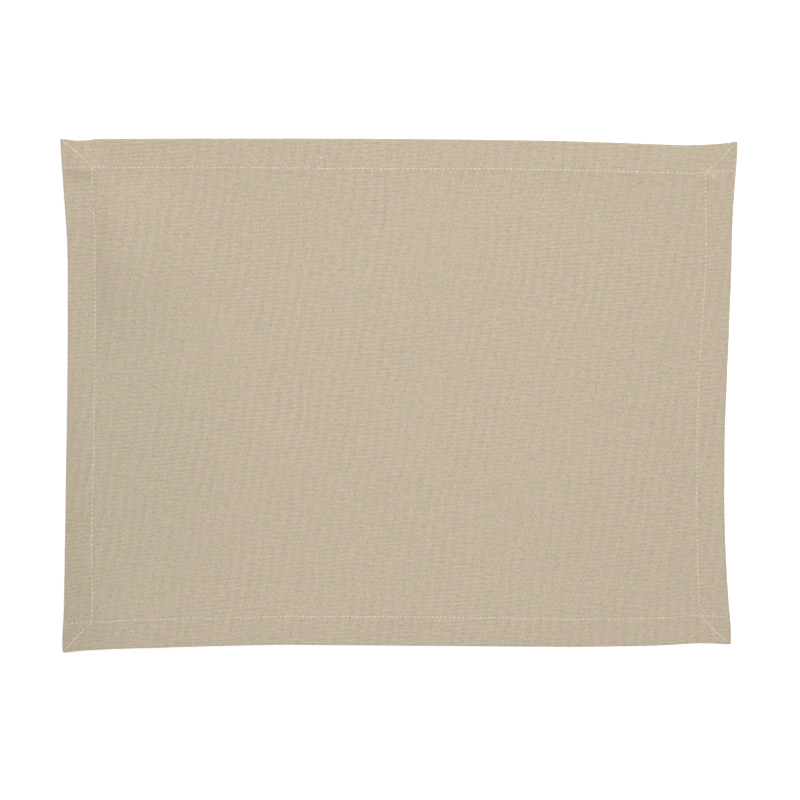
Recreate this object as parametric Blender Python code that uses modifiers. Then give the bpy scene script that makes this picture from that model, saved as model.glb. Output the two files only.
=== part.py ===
"""Fabric placemat: one rectangular panel of plain-woven cloth with a turned, topstitched hem.

The mat lies face up. +X runs along its long side, +Y along its short side and +Z up. The origin is on the
surface that the mat lies on, under its middle. Lengths in the tables are in millimetres.
"""

import math

import bmesh
import bpy
import numpy as np

MM = 0.001
TINY = 0.01 * MM

# The panel across its middle, and its corners.
LENGTH = 452.0 * MM
WIDTH = 348.0 * MM
CORNER_ROUND = 0.3 * MM  # how far each corner tip is drawn in, along each side

# The cloth and its hem, which is turned under twice and sewn through. Past the hem's inner fold the cloth
# comes down to the surface over a short slope.
CLOTH_THICKNESS = 1.0 * MM
HEM_THICKNESS = 2.0 * MM
HEM_DEPTH = 21.3 * MM
FOLD_ROUND = 0.8 * MM  # rounds the folded rim and the inner fold
SLOPE_LENGTH = 6.5 * MM

# The topstitching pulls the hem's face down in a shallow groove.
STITCH_INSET = 19.6 * MM
GROOVE_DEPTH = 0.35 * MM
GROOVE_HALF_WIDTH = 1.1 * MM

# The grid that is shaped into the mat.
BAND_STEPS = 6  # across the hem, between the rim and the sewn line
FIELD_STEP = 15.0 * MM  # inside the hem

CLOTH_COLOUR = (0.545, 0.465, 0.352, 1.0)
CLOTH_ROUGHNESS = 0.92

# The outline. Each side is a smooth curve through a few places, measured from the middle of the mat.
FAR_EDGE = (  # x, y
    (-232.0, 176.0),
    (-200.0, 176.0),
    (-115.0, 176.2),
    (-6.0, 176.0),
    (50.0, 175.5),
    (104.0, 174.7),
    (158.0, 173.0),
    (186.0, 172.0),
    (200.0, 171.8),
    (213.0, 172.2),
    (222.0, 172.8),
    (232.0, 174.2),
)
NEAR_EDGE = (  # x, y
    (-231.0, -176.2),
    (-220.0, -174.9),
    (-206.0, -174.0),
    (-170.0, -172.8),
    (-116.0, -171.3),
    (-88.0, -170.7),
    (-33.0, -170.9),
    (76.0, -171.8),
    (131.0, -171.9),
    (186.0, -170.6),
    (203.0, -169.6),
    (216.0, -169.7),
    (228.0, -170.3),
)
LEFT_EDGE = (  # y, x
    (-176.0, -230.0),
    (-165.0, -230.4),
    (-154.0, -229.7),
    (-120.0, -228.8),
    (-65.0, -228.0),
    (-10.0, -227.1),
    (62.0, -226.6),
    (93.0, -226.7),
    (113.0, -227.5),
    (134.0, -229.1),
    (155.0, -230.5),
    (175.0, -232.0),
)
RIGHT_EDGE = (  # y, x
    (-170.0, 227.6),
    (-163.0, 227.5),
    (-146.0, 226.1),
    (-133.0, 225.2),
    (-106.0, 223.8),
    (-78.0, 223.1),
    (-51.0, 223.1),
    (-24.0, 223.5),
    (4.0, 224.5),
    (59.0, 226.8),
    (86.0, 227.8),
    (127.0, 229.0),
    (155.0, 231.1),
    (168.0, 232.0),
    (174.0, 232.1),
)

# How far inside the rim each side is really sewn. The panel is first shaped straight, with every sewn line at
# STITCH_INSET, and is then moved to the outline above and the insets below.
FAR_SEAM = (  # x, inset
    (-210.0, 19.6),
    (-156.0, 20.0),
    (-100.0, 20.0),
    (-60.0, 20.5),
    (10.0, 20.5),
    (60.0, 20.0),
    (111.0, 20.0),
    (160.0, 19.5),
    (210.0, 19.3),
)
NEAR_SEAM = (  # x, inset
    (-210.0, 19.2),
    (-156.0, 19.6),
    (-130.0, 19.2),
    (-53.0, 19.7),
    (70.0, 19.7),
    (111.0, 19.2),
    (210.0, 19.0),
)
LEFT_SEAM = (  # y, inset
    (-156.0, 20.2),
    (-140.0, 19.5),
    (-99.0, 18.3),
    (-50.0, 18.7),
    (45.0, 18.9),
    (107.0, 19.1),
    (127.0, 19.7),
    (157.0, 20.7),
)
RIGHT_SEAM = (  # y, inset
    (-150.0, 20.4),
    (-120.0, 19.8),
    (-90.0, 19.0),
    (10.0, 19.0),
    (50.0, 18.7),
    (86.0, 17.8),
    (107.0, 17.8),
    (127.0, 18.8),
    (152.0, 20.8),
)

# Beside the far left corner tip the rim is pulled in a little, and the sewn line further in is not.
TIP_DIP = {"x": -218.2, "half_width": 8.8, "depth": 1.15, "reach": 14.0}

# Soft swellings lift the cloth off the surface. The hem lies flat up to the first inset, and from the second
# inset on the swellings have their whole height. Where the rows cross at the far corners, the hem is drawn up
# into a small tuck.
SWELLINGS = (  # x, y, reach_x, reach_y, height
    (-194.0, 102.0, 78.0, 64.0, 5.2),
    (-204.0, 66.0, 44.0, 48.0, 2.4),
    (-150.0, -20.0, 60.0, 80.0, 0.4),
    (60.0, 105.0, 90.0, 50.0, 0.4),
    (150.0, -80.0, 70.0, 60.0, 0.5),
)
HELD_DOWN = (17.0 * MM, 36.0 * MM)
TUCKS = (  # x, y, reach_x, reach_far, reach_near, height
    (-217.0, 154.5, 16.0, 20.0, 6.5, 1.9),
    (214.0, 147.0, 12.0, 9.0, 4.5, 1.3),
)


def along_table(table, places):
    """A smooth curve through a table's rows, read at some places (metres in, metres out)."""
    at, value = np.array(table).T * MM
    slope = np.gradient(value, at)
    places = np.clip(places, at[0], at[-1])
    row = np.clip(np.searchsorted(at, places) - 1, 0, len(at) - 2)
    gap = at[row + 1] - at[row]
    t = (places - at[row]) / gap
    start, end = value[row], value[row + 1]
    bend = (1 - t) * slope[row] * gap - t * slope[row + 1] * gap - (1 - 2 * t) * (end - start)
    return start + t * (end - start) + t * (1 - t) * bend


def hem_section():
    """The hem's cross-section from the rim inwards, in rows of inset, underside and face."""
    band = np.linspace(2 * FOLD_ROUND, STITCH_INSET - GROOVE_HALF_WIDTH, BAND_STEPS + 1)
    rows = [(inset, 0.0, HEM_THICKNESS) for inset in (0.0, *band)]
    rows += [
        (STITCH_INSET, 0.0, HEM_THICKNESS),
        (STITCH_INSET + GROOVE_HALF_WIDTH, 0.0, HEM_THICKNESS),
        (HEM_DEPTH, 0.0, HEM_THICKNESS),
        (HEM_DEPTH + FOLD_ROUND, FOLD_ROUND, CLOTH_THICKNESS + FOLD_ROUND),
        (HEM_DEPTH + SLOPE_LENGTH / 2, FOLD_ROUND / 3, CLOTH_THICKNESS + FOLD_ROUND / 3),
        (HEM_DEPTH + SLOPE_LENGTH, 0.0, CLOTH_THICKNESS),
        (HEM_DEPTH + 2 * SLOPE_LENGTH, 0.0, CLOTH_THICKNESS),
    ]
    return np.array(rows).T


def grid_lines(size):
    """Where the grid's lines cross a panel of this size: at the hem's section, then in even steps."""
    insets = hem_section()[0]
    inner = size / 2 - insets[-1]
    field = np.linspace(-inner, inner, round(2 * inner / FIELD_STEP) + 1)
    return np.concatenate([insets[:-1] - size / 2, field, (size / 2 - insets[:-1])[::-1]])


def groove(distance):
    """How far the face is pulled down, at some distance from a sewn line."""
    return GROOVE_DEPTH * np.clip(1 - np.abs(distance) / GROOVE_HALF_WIDTH, 0, 1)


def sewn_grooves(inset_x, inset_y):
    """The rows along the far and near sides run right across, the other two stop at them, and the mitres
    run from the corner tips to where the rows cross."""
    rows = groove(inset_y - STITCH_INSET)
    columns = np.where(inset_y >= STITCH_INSET, groove(inset_x - STITCH_INSET), 0)
    outside = np.maximum(inset_x, inset_y) <= STITCH_INSET
    mitres = np.where(outside, groove((inset_x - inset_y) / math.sqrt(2)), 0)
    return np.maximum(np.maximum(rows, columns), mitres)


def smooth(share):
    """An even rise from 0 to 1, level at both ends."""
    share = np.clip(share, 0, 1)
    return share * share * (3 - 2 * share)


def lift(x, y, inset):
    """How far the cloth stands off the surface. inset is the distance from the nearest rim."""
    height = np.zeros_like(x)
    for middle_x, middle_y, reach_x, reach_y, rise in np.array(SWELLINGS) * MM:
        away = ((x - middle_x) / reach_x) ** 2 + ((y - middle_y) / reach_y) ** 2
        height += rise * np.clip(1 - away, 0, 1) ** 2
    height *= smooth((inset - HELD_DOWN[0]) / (HELD_DOWN[1] - HELD_DOWN[0]))
    for middle_x, middle_y, reach_x, reach_far, reach_near, rise in np.array(TUCKS) * MM:
        beside = np.clip(1 - ((x - middle_x) / reach_x) ** 2, 0, 1) ** 2
        away = np.abs(y - middle_y) / np.where(y > middle_y, reach_far, reach_near)
        height += rise * beside * smooth(1 - away)
    return height


def between_sides(place, size, low_rim, high_rim, low_seam, high_seam):
    """Spreads places on the straight panel between two rims and the two sewn lines beside them."""
    inset = size / 2 - np.abs(place)
    share = (place / (size / 2 - STITCH_INSET) + 1) / 2
    low, high = low_rim + low_seam, high_rim - high_seam
    in_field = low + share * (high - low)
    in_hem = np.where(
        place < 0,
        low_rim + inset / STITCH_INSET * low_seam,
        high_rim - inset / STITCH_INSET * high_seam,
    )
    return np.where(inset < STITCH_INSET, in_hem, in_field)


def outline_place(x, y):
    """Moves points of the straight panel so that its rim and its sewn lines follow their tables."""
    moved_x = between_sides(
        x,
        LENGTH,
        along_table(LEFT_EDGE, y),
        along_table(RIGHT_EDGE, y),
        along_table(LEFT_SEAM, y),
        along_table(RIGHT_SEAM, y),
    )
    moved_y = between_sides(
        y,
        WIDTH,
        along_table(NEAR_EDGE, moved_x),
        along_table(FAR_EDGE, moved_x),
        along_table(NEAR_SEAM, moved_x),
        along_table(FAR_SEAM, moved_x),
    )
    dip = {name: value * MM for name, value in TIP_DIP.items()}
    beside = np.exp(-(((moved_x - dip["x"]) / dip["half_width"]) ** 4))
    inwards = np.clip(1 - (WIDTH / 2 - y) / dip["reach"], 0, 1)
    return moved_x, moved_y - dip["depth"] * beside * inwards


def make_collection(name):
    collection = bpy.data.collections.new(name)
    bpy.context.scene.collection.children.link(collection)
    return collection


def cloth_material():
    material = bpy.data.materials.new("oatmeal_cloth")
    material.use_nodes = True
    shader = material.node_tree.nodes["Principled BSDF"]
    shader.inputs["Base Color"].default_value = CLOTH_COLOUR
    shader.inputs["Roughness"].default_value = CLOTH_ROUGHNESS
    shader.inputs["Metallic"].default_value = 0.0
    return material


def flat_panel():
    """A grid with its lines at the hem's section, as two layers joined round the rim."""
    lines_x = grid_lines(LENGTH)
    lines_y = grid_lines(WIDTH)
    panel = bmesh.new()
    bmesh.ops.create_grid(panel, x_segments=len(lines_x) - 1, y_segments=len(lines_y) - 1, size=0.5)
    for vertex in panel.verts:
        vertex.co.x = lines_x[round((vertex.co.x + 0.5) * (len(lines_x) - 1))]
        vertex.co.y = lines_y[round((vertex.co.y + 0.5) * (len(lines_y) - 1))]
    extruded = bmesh.ops.extrude_face_region(panel, geom=panel.faces[:])
    for item in extruded["geom"]:
        if isinstance(item, bmesh.types.BMVert):
            item.co.z = HEM_THICKNESS
    bmesh.ops.recalc_face_normals(panel, faces=panel.faces[:])
    return panel


def crease_mitres(panel):
    """Splits the quads that a mitre crosses along it, on the face."""
    mitred = []
    for vertex in panel.verts:
        inset_x = LENGTH / 2 - abs(vertex.co.x)
        inset_y = WIDTH / 2 - abs(vertex.co.y)
        if abs(inset_x - inset_y) < TINY and inset_x < STITCH_INSET + TINY:
            mitred.append(vertex)
    bmesh.ops.connect_verts(panel, verts=mitred)


def centred(places):
    """The same coordinates, with the middle of their range at 0."""
    return places - (places.min() + places.max()) / 2


def shape_panel(panel):
    """Gives the flat panel its hem, grooves, outline, swellings and tucks."""
    x, y, z = np.array([vertex.co for vertex in panel.verts]).T
    inset_x = LENGTH / 2 - np.abs(x)
    inset_y = WIDTH / 2 - np.abs(y)
    inset, underside, face = hem_section()
    nearest = np.minimum(inset_x, inset_y)
    low = np.interp(nearest, inset, underside)
    high = np.interp(nearest, inset, face) - sewn_grooves(inset_x, inset_y)
    moved_x, moved_y = outline_place(x, y)
    height = np.where(z > 0, high, low) + lift(moved_x, moved_y, nearest)
    tip = np.maximum(inset_x, inset_y) < TINY
    moved_x -= np.where(tip, np.sign(x) * CORNER_ROUND, 0)
    moved_y -= np.where(tip, np.sign(y) * CORNER_ROUND, 0)
    for vertex, place in zip(panel.verts, np.stack([centred(moved_x), centred(moved_y), height], axis=1)):
        vertex.co = place


def make_cloth(collection):
    panel = flat_panel()
    crease_mitres(panel)
    shape_panel(panel)
    mesh = bpy.data.meshes.new("placemat_cloth")
    panel.to_mesh(mesh)
    panel.free()
    mesh.materials.append(cloth_material())
    cloth = bpy.data.objects.new("placemat_cloth", mesh)
    collection.objects.link(cloth)
    rim = cloth.modifiers.new("folded rim", "BEVEL")
    rim.width = FOLD_ROUND
    rim.segments = 3
    rim.limit_method = "ANGLE"
    rim.angle_limit = math.radians(65)
    mesh.shade_smooth()
    mesh.set_sharp_from_angle(angle=math.radians(50))
    return cloth


for old in list(bpy.data.objects):
    bpy.data.objects.remove(old, do_unlink=True)

make_cloth(make_collection("placemat"))
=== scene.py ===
# %% [markdown]
# # A fabric placemat with a turned and topstitched hem
#
# The mat is one panel of plain-woven oatmeal cloth. Its four sides are turned under twice, its corners are
# mitred, and a cream thread is sewn through the hem. This lesson cuts the cloth, folds the hem, sews it,
# lays the mat down with the small swellings it has, and then gives cloth and thread their finish.
#
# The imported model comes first. It fixes where the mat lies and how large it is, and it isn't changed here.

# %% Load the frame
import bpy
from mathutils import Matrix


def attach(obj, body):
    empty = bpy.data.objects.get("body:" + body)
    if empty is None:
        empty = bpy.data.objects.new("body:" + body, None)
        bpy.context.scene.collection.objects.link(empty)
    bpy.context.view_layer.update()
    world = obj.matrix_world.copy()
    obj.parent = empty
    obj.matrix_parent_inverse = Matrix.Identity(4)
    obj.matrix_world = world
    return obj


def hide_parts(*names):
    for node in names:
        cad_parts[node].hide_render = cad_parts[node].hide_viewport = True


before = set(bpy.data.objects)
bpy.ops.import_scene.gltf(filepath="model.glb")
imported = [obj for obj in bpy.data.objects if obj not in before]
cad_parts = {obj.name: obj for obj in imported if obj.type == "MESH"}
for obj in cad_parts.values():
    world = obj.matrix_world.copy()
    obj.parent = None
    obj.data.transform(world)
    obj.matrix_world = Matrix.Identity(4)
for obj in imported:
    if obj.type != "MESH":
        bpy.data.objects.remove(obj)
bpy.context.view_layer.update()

# %% [markdown]
# ## The outline
#
# Cloth is measured in millimetres, so the tables below are too, and MM turns them into metres. The panel's
# length and width are taken across its middle. Its real sides are a little uneven. They could be drawn as a
# mesh with many points, but a pattern cutter would lay a flexible ruler through a few places, and so does
# this lesson: each side is a smooth curve through its table.

# %% Sizes of the mat
import math

import bpy
import numpy as np
from mathutils import Vector

MM = 0.001

LENGTH = 452.0 * MM
WIDTH = 348.0 * MM
CORNER_ROUND = 0.3 * MM

FAR_EDGE = (  # x, y
    (-232.0, 176.0),
    (-200.0, 176.0),
    (-115.0, 176.2),
    (-6.0, 176.0),
    (50.0, 175.5),
    (104.0, 174.7),
    (158.0, 173.0),
    (186.0, 172.0),
    (200.0, 171.8),
    (213.0, 172.2),
    (222.0, 172.8),
    (232.0, 174.2),
)
NEAR_EDGE = (  # x, y
    (-231.0, -176.2),
    (-220.0, -174.9),
    (-206.0, -174.0),
    (-170.0, -172.8),
    (-116.0, -171.3),
    (-88.0, -170.7),
    (-33.0, -170.9),
    (76.0, -171.8),
    (131.0, -171.9),
    (186.0, -170.6),
    (203.0, -169.6),
    (216.0, -169.7),
    (228.0, -170.3),
)
LEFT_EDGE = (  # y, x
    (-176.0, -230.0),
    (-165.0, -230.4),
    (-154.0, -229.7),
    (-120.0, -228.8),
    (-65.0, -228.0),
    (-10.0, -227.1),
    (62.0, -226.6),
    (93.0, -226.7),
    (113.0, -227.5),
    (134.0, -229.1),
    (155.0, -230.5),
    (175.0, -232.0),
)
RIGHT_EDGE = (  # y, x
    (-170.0, 227.6),
    (-163.0, 227.5),
    (-146.0, 226.1),
    (-133.0, 225.2),
    (-106.0, 223.8),
    (-78.0, 223.1),
    (-51.0, 223.1),
    (-24.0, 223.5),
    (4.0, 224.5),
    (59.0, 226.8),
    (86.0, 227.8),
    (127.0, 229.0),
    (155.0, 231.1),
    (168.0, 232.0),
    (174.0, 232.1),
)
TIP_DIP = {"x": -218.2, "half_width": 8.8, "depth": 1.15, "reach": 14.0}

# %% [markdown]
# ## The sewn lines
#
# The hem is sewn about 20 mm inside the rim. The machine's guide isn't followed exactly, and the corners
# flare a little, so each line has its own table of insets along its side. The panel is first modelled
# straight, with every line at the same inset, and is moved to these places when it is laid down.

# %% Where the hem is sewn
SEAM_INSET = 19.6 * MM

FAR_SEAM = (  # x, inset
    (-210.0, 19.6),
    (-156.0, 20.0),
    (-100.0, 20.0),
    (-60.0, 20.5),
    (10.0, 20.5),
    (60.0, 20.0),
    (111.0, 20.0),
    (160.0, 19.5),
    (210.0, 19.3),
)
NEAR_SEAM = (  # x, inset
    (-210.0, 19.2),
    (-156.0, 19.6),
    (-130.0, 19.2),
    (-53.0, 19.7),
    (70.0, 19.7),
    (111.0, 19.2),
    (210.0, 19.0),
)
LEFT_SEAM = (  # y, inset
    (-156.0, 20.2),
    (-140.0, 19.5),
    (-99.0, 18.3),
    (-50.0, 18.7),
    (45.0, 18.9),
    (107.0, 19.1),
    (127.0, 19.7),
    (157.0, 20.7),
)
RIGHT_SEAM = (  # y, inset
    (-150.0, 20.4),
    (-120.0, 19.8),
    (-90.0, 19.0),
    (10.0, 19.0),
    (50.0, 18.7),
    (86.0, 17.8),
    (107.0, 17.8),
    (127.0, 18.8),
    (152.0, 20.8),
)

# %% [markdown]
# ## The cloth and its hem
#
# The cloth is about half a millimetre thick. In the hem it lies in three layers: the face, the turned part
# under it, and between them the strip that was turned first, whose raw edge is hidden. A little air stays
# between them. A hem could be a thicker rim on a flat sheet, but from the side and from below a real one
# shows its folds, so this one is folded. All heights below are those of the middle of the cloth, because
# its thickness is added last, on both sides.

# %% Sizes of the cloth, its layers and its folds
CLOTH = 0.48 * MM
AIR = 0.06 * MM  # between the hem's pressed layers
LOWER = CLOTH / 2
MIDDLE = LOWER + CLOTH + AIR
FACE = MIDDLE + CLOTH + AIR
NEARLY = CLOTH / 10  # places closer than this are taken as the same
HEM_DEPTH = 21.3 * MM
TURN_IN = 18.5 * MM  # how far the hidden strip reaches back towards the rim

RIM_RADIUS = (FACE - LOWER) / 2
RIM_START = RIM_RADIUS + CLOTH / 2  # the inset where the face starts to turn over
INNER_RADIUS = (MIDDLE - LOWER) / 2
INNER_START = HEM_DEPTH - CLOTH / 2 - INNER_RADIUS

print(f"the hem is {(FACE + LOWER) / MM:.2f} mm high, and the field {CLOTH / MM:.2f} mm")

# %% [markdown]
# ## Helpers
#
# An operator acts on everything that is selected, and loading the frame leaves its parts selected. So each
# step first picks one piece, then picks its faces, edges or vertices by their place. Places are read and
# written as tables of numbers, which is much quicker than one vertex at a time.


# %% Picking pieces and places
def pick_piece(piece):
    """Makes one piece the only one that operators act on."""
    bpy.ops.object.select_all(action="DESELECT")
    piece.select_set(True)
    bpy.context.view_layer.objects.active = piece


def edit_these(piece, kind, wanted):
    """Opens a piece for editing with some of its vertices, edges or polygons selected."""
    pick_piece(piece)
    kinds = ("vertices", "edges", "polygons")
    for name in kinds:
        items = getattr(piece.data, name)
        items.foreach_set("select", np.zeros(len(items), dtype=bool))
    getattr(piece.data, kind).foreach_set("select", wanted)
    bpy.context.tool_settings.mesh_select_mode = [name == kind for name in kinds]
    bpy.ops.object.mode_set(mode="EDIT")


def read_places(items, name="co"):
    places = np.empty(len(items) * 3, dtype=np.float32)
    items.foreach_get(name, places)
    return places.reshape(-1, 3).astype(float)


def write_places(mesh, places):
    mesh.vertices.foreach_set("co", places.astype(np.float32).ravel())
    mesh.update()


# %% [markdown]
# ## Cutting the cloth
#
# The face of the mat starts as a grid in 6 mm squares. That is fine enough for the middle, which lies
# almost flat. The outer 30 mm holds the hem and the sewing, so its squares are divided again into 1.5 mm
# ones: two to a stitch, so that the cloth can dip at each needle hole. Dividing the whole grid would do as
# well, but it would make the mesh three times as heavy for nothing.

# %% The face of the mat, as a grid
SQUARE = 6.0 * MM
BAND_SQUARES = 5
CUTS = 3
BAND = BAND_SQUARES * SQUARE
squares = [2 * BAND_SQUARES + round((size - 2 * BAND) / SQUARE) for size in (LENGTH, WIDTH)]

bpy.ops.object.select_all(action="DESELECT")
bpy.ops.mesh.primitive_grid_add(x_subdivisions=squares[0], y_subdivisions=squares[1], size=1)
cloth = bpy.context.object
cloth.name = cloth.data.name = "woven_cloth"

centres = read_places(cloth.data.polygons, "center")[:, :2]
squares_from_rim = (0.5 - np.abs(centres)) * squares
edit_these(cloth, "polygons", squares_from_rim.min(axis=1) < BAND_SQUARES)
bpy.ops.mesh.subdivide(number_cuts=CUTS, ngon=True)
bpy.ops.object.mode_set(mode="OBJECT")
print(f"{squares[0]} x {squares[1]} squares, {len(cloth.data.polygons)} faces after dividing the band")

# %% [markdown]
# The grid's lines now go where the hem needs them: close together at the rim, and one on the sewn line.
# Each line keeps its number and only slides, so the squares stay in rows. A mitre runs at 45 degrees from
# each corner tip, and because both directions use the same insets, it always passes through corners of the
# grid.

# %% Sliding the grid's lines to the hem
LINE_INSETS = (  # line number from the rim, inset in mm
    (0, RIM_START / MM),
    (1, 1.7),
    (2, 2.9),
    (11, 16.9),
    (12, 18.0),
    (13, 18.8),
    (14, SEAM_INSET / MM),
    (15, 20.4),
    (16, 21.1),
    (17, 22.0),
    (18, 23.4),
    (19, 26.0),
    (20, BAND / MM),
)


def slide_lines(shares, count, size):
    """Turns places along one direction, from -0.5 to 0.5, into metres."""
    number, inset = np.array(LINE_INSETS).T
    line = (0.5 - np.abs(shares)) * count * (CUTS + 1)
    in_band = size / 2 - np.interp(line, number, inset) * MM
    inside = np.abs(shares) * count / (count / 2 - BAND_SQUARES) * (size / 2 - BAND)
    return np.sign(shares) * np.where(line < number[-1], in_band, inside)


places = read_places(cloth.data.vertices)
for axis, size in enumerate((LENGTH, WIDTH)):
    places[:, axis] = slide_lines(places[:, axis], squares[axis], size)
places[:, 2] = FACE
write_places(cloth.data, places)

# %% [markdown]
# ## Turning the hem
#
# A real hem is turned by folding the cloth under, pressing it, and folding it again. Here the open rim of
# the grid is extruded step by step along the same path: round the outer fold, back under the mat, round the
# inner fold, and out again between the two layers. Each step scales the rim from the middle, so it stays
# parallel to the sides and its corners stay on the mitres.


# %% The path of the hem, seen from its end
def fold(inset, height, radius, first, last, steps):
    """Points round a fold, as rows of inset and height. Angles are in degrees, and 90 is straight up."""
    angles = np.radians(np.linspace(first, last, steps + 1)[1:])
    return [(inset - radius * math.cos(angle), height + radius * math.sin(angle)) for angle in angles]


UNDER_INSETS = (3.0, 6.5, 10.5, 14.5, 17.2, 18.6, SEAM_INSET / MM)
RIM_STEPS = 6
INNER_STEPS = 4

hem_path = [(RIM_START, FACE)]
hem_path += fold(RIM_START, (FACE + LOWER) / 2, RIM_RADIUS, 90, -90, RIM_STEPS)
hem_path += [(inset * MM, LOWER) for inset in UNDER_INSETS]
hem_path += [(INNER_START, LOWER)]
hem_path += fold(INNER_START, (MIDDLE + LOWER) / 2, INNER_RADIUS, 270, 90, INNER_STEPS)
hem_path += [(inset, MIDDLE) for inset in (SEAM_INSET, HEM_DEPTH / 2, HEM_DEPTH - TURN_IN)]

# %% Folding
edit_these(cloth, "polygons", np.ones(len(cloth.data.polygons), dtype=bool))
bpy.ops.mesh.region_to_loop()
for (old_inset, old_height), (inset, height) in zip(hem_path, hem_path[1:]):
    bpy.ops.mesh.extrude_edges_move()
    across = [(size / 2 - inset) / (size / 2 - old_inset) for size in (LENGTH, WIDTH)]
    bpy.ops.transform.resize(value=(*across, 1), center_override=(0, 0, 0))
    bpy.ops.transform.translate(value=(0, 0, height - old_height))
bpy.ops.mesh.select_all(action="SELECT")
bpy.ops.mesh.normals_make_consistent(inside=False)
bpy.ops.object.mode_set(mode="OBJECT")
print(f"{len(hem_path) - 1} steps round the hem, {len(cloth.data.polygons)} faces")

# %% [markdown]
# ## The cloth's own coordinates
#
# Yarns run straight through the flat cloth and turn with it round the folds. A pattern on Object
# coordinates would ignore the folds, and an automatic unwrap would cut the cloth up, so a UV map is made
# that holds each point's place on the flat cloth, in metres. On the face that is its place on the panel.
# Past the rim it is the length of cloth that has been folded under. The mitres are the only cuts in the
# map.

# %% A map of the flat cloth
places = read_places(cloth.data.vertices)
sides = np.array([LENGTH, WIDTH]) / 2
insets = sides - np.abs(places[:, :2])

path = np.array(hem_path)
path_length = np.concatenate([[0], np.cumsum(np.hypot(*np.diff(path, axis=0).T))])
to_path = np.hypot(insets.min(axis=1)[:, None] - path[:, 0], places[:, 2:] - path[:, 1])
turn = np.where(places[:, 2] > FACE - NEARLY, 0, to_path.argmin(axis=1))  # 0 on the face

corner_vertex = np.empty(len(cloth.data.loops), dtype=np.int32)
cloth.data.loops.foreach_get("vertex_index", corner_vertex)
corner_count = np.empty(len(cloth.data.polygons), dtype=np.int32)
cloth.data.polygons.foreach_get("loop_total", corner_count)
centres = read_places(cloth.data.polygons, "center")
under = np.maximum.reduceat(turn[corner_vertex], np.concatenate([[0], np.cumsum(corner_count)[:-1]])) > 0
own_side = (sides - np.abs(centres[:, :2])).argmin(axis=1)  # 0 is the left or right side, 1 the far or near

flat = places[corner_vertex, :2]
for axis in (0, 1):
    flap = np.repeat(under & (own_side == axis), corner_count)
    outwards = np.sign(np.repeat(centres[:, axis], corner_count))
    reach = sides[axis] - RIM_START + path_length[turn[corner_vertex]]
    flat[:, axis] = np.where(flap, outwards * reach, flat[:, axis])
flat_cloth = cloth.data.uv_layers.new(name="flat_cloth")
flat_cloth.uv.foreach_set("vector", flat.astype(np.float32).ravel())
cloth.data.uv_layers.remove(cloth.data.uv_layers["UVMap"])

# %% [markdown]
# ## The rows of stitches
#
# One row runs the whole length of the far side and one of the near side. Along the left and right the rows
# stop where they meet those. Each corner has a short row along its mitre, and two of these bow a little.
# Three of them begin with a few stitches sewn twice, to lock the thread, which shows as an unbroken line
# near the tip. The rows are kept in one table, because both the groove in the cloth and the thread need
# them.

# %% A table of the sewn rows
PITCH = 3.01 * MM  # from one needle hole to the next, nearly
ROW_END = 1.35 * MM  # from the rim to the first hole
MITRE_START = 2.2 * MM
FAR_LEFT_START = 1.4 * MM  # this mitre's row is sewn almost to the tip

far_y, right_x = WIDTH / 2 - SEAM_INSET, LENGTH / 2 - SEAM_INSET
row_x = LENGTH / 2 - ROW_END
mitre_x, mitre_y = LENGTH / 2 - MITRE_START, WIDTH / 2 - MITRE_START

ROWS = (  # name, first hole, last hole, bow in mm, stitches sewn twice at the first hole
    ("far", (-row_x, far_y), (row_x, far_y), 0.0, 0),
    ("near", (-row_x, -far_y), (row_x, -far_y), 0.0, 0),
    ("left", (-right_x, far_y), (-right_x, -far_y), 0.0, 0),
    ("right", (right_x, far_y), (right_x, -far_y), 0.0, 0),
    ("far_left_mitre", (FAR_LEFT_START - LENGTH / 2, WIDTH / 2 - FAR_LEFT_START), (-right_x, far_y), 1.0, 4),
    ("far_right_mitre", (mitre_x, mitre_y), (right_x, far_y), 0.0, 0),
    ("near_left_mitre", (-mitre_x, -mitre_y), (-right_x, -far_y), 0.0, 5),
    ("near_right_mitre", (mitre_x, -mitre_y), (right_x, -far_y), 1.0, 4),
)


def row_line(first, last):
    """A row's direction, the direction across it (to its left), its length and its number of stitches."""
    run = np.subtract(last, first)
    length = math.hypot(*run)
    along = run / length
    return along, np.array([-along[1], along[0]]), length, round(length / PITCH)


stitch_total = sum(row_line(first, last)[3] + twice for name, first, last, bow, twice in ROWS)
print(f"{stitch_total} stitches on each side of the hem")

# %% [markdown]
# ## How the thread pulls the cloth in
#
# The thread draws the layers together, so the face dips in a narrow groove along each row, and a little
# more at each needle hole. The grooves could be painted as bump, but they catch the light from the side, so
# they are real dips. The function below gives their depth anywhere on the straight panel.

# %% Grooves and needle holes
GROOVE_DEPTH = 0.12 * MM
HOLE_DEPTH = 0.10 * MM
GROOVE_HALF_WIDTH = 0.8 * MM
HOLE_REACH = 1.5 * MM


def bowed(share, bow):
    """How far a bowed row lies to the left of its straight line."""
    return bow * MM * 4 * share * (1 - share)


def sewn_pull(x, y):
    """How far the thread pulls the face of the cloth down."""
    deepest = np.zeros_like(x)
    for name, first, last, bow, twice in ROWS:
        along, across, length, count = row_line(first, last)
        place = (x - first[0]) * along[0] + (y - first[1]) * along[1]
        share = np.clip(place / length, 0, 1)
        aside = (x - first[0]) * across[0] + (y - first[1]) * across[1] - bowed(share, bow)
        to_row = np.hypot(aside, place - share * length)
        to_hole = np.abs(share * count - np.round(share * count)) * length / count
        depth = GROOVE_DEPTH + HOLE_DEPTH * np.clip(1 - to_hole / HOLE_REACH, 0, 1)
        deepest = np.maximum(deepest, depth * np.clip(1 - to_row / GROOVE_HALF_WIDTH, 0, 1))
    return deepest


# %% [markdown]
# ## From the hem down to the table
#
# Inside the hem there is only one layer, so the cloth comes down from the hem's face to the table. It is
# stiff enough to take about 45 mm for that. Only on the far side does it first drop a little close behind
# the inner fold, which shows as a soft dark line along the stitches.

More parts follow.
